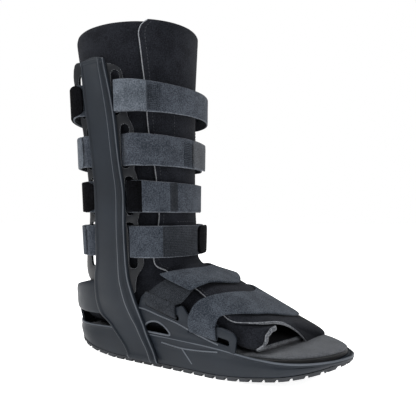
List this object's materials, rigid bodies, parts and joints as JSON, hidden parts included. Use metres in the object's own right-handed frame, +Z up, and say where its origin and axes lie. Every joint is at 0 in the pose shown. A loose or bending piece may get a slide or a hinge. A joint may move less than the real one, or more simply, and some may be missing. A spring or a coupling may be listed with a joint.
{
  "type": "medical walking boot",
  "caption": "Tall orthopaedic walking boot: rocker sole and rigid side frame, open-toed foam liner, straps round the calf, instep and toes.",
  "frame": {"origin": "middle of the boot's box on the floor", "axes": "+X towards the toe, +Y to the wearer's left, +Z up the leg"},
  "size_m": [0.3576, 0.1726, 0.4],
  "materials": {
    "shell": "charcoal moulded plastic, satin, with lighter worn edges",
    "outsole": "dark rubber with cross lugs",
    "foam": "matte black closed-cell foam",
    "insole": "smooth mid-grey cloth-faced foam",
    "liner": "near-black brushed foam laminate with light grey stitched binding",
    "strap": "blue-grey loop webbing, softly fuzzy",
    "pile": "deep black hook-and-loop pile"
  },
  "bodies": {
    "root": {"base_tray": "shell", "calf_frame": "shell", "right_side_plate": "shell", "left_side_plate": "shell", "outsole": "outsole", "footbed_foam": "foam", "insole": "insole", "liner": "liner", "front_flap": "liner", "right_instep_anchor": "strap", "left_instep_anchor": "strap", "instep_strap": "strap", "toe_strap": "strap", "calf_strap_1": "strap", "calf_strap_2": "strap", "calf_strap_3": "strap", "calf_strap_4": "strap", "strap_1_tab": "strap", "strap_2_end": "strap", "strap_3_tab": "strap", "strap_3_end": "strap", "strap_4_tab": "strap", "strap_2_rear_tab": "strap", "strap_4_rear_tab": "strap", "strap_4_pad": "pile", "strap_1_rear_pad": "pile", "strap_3_rear_pad": "pile"}
  },
  "joints": []
}
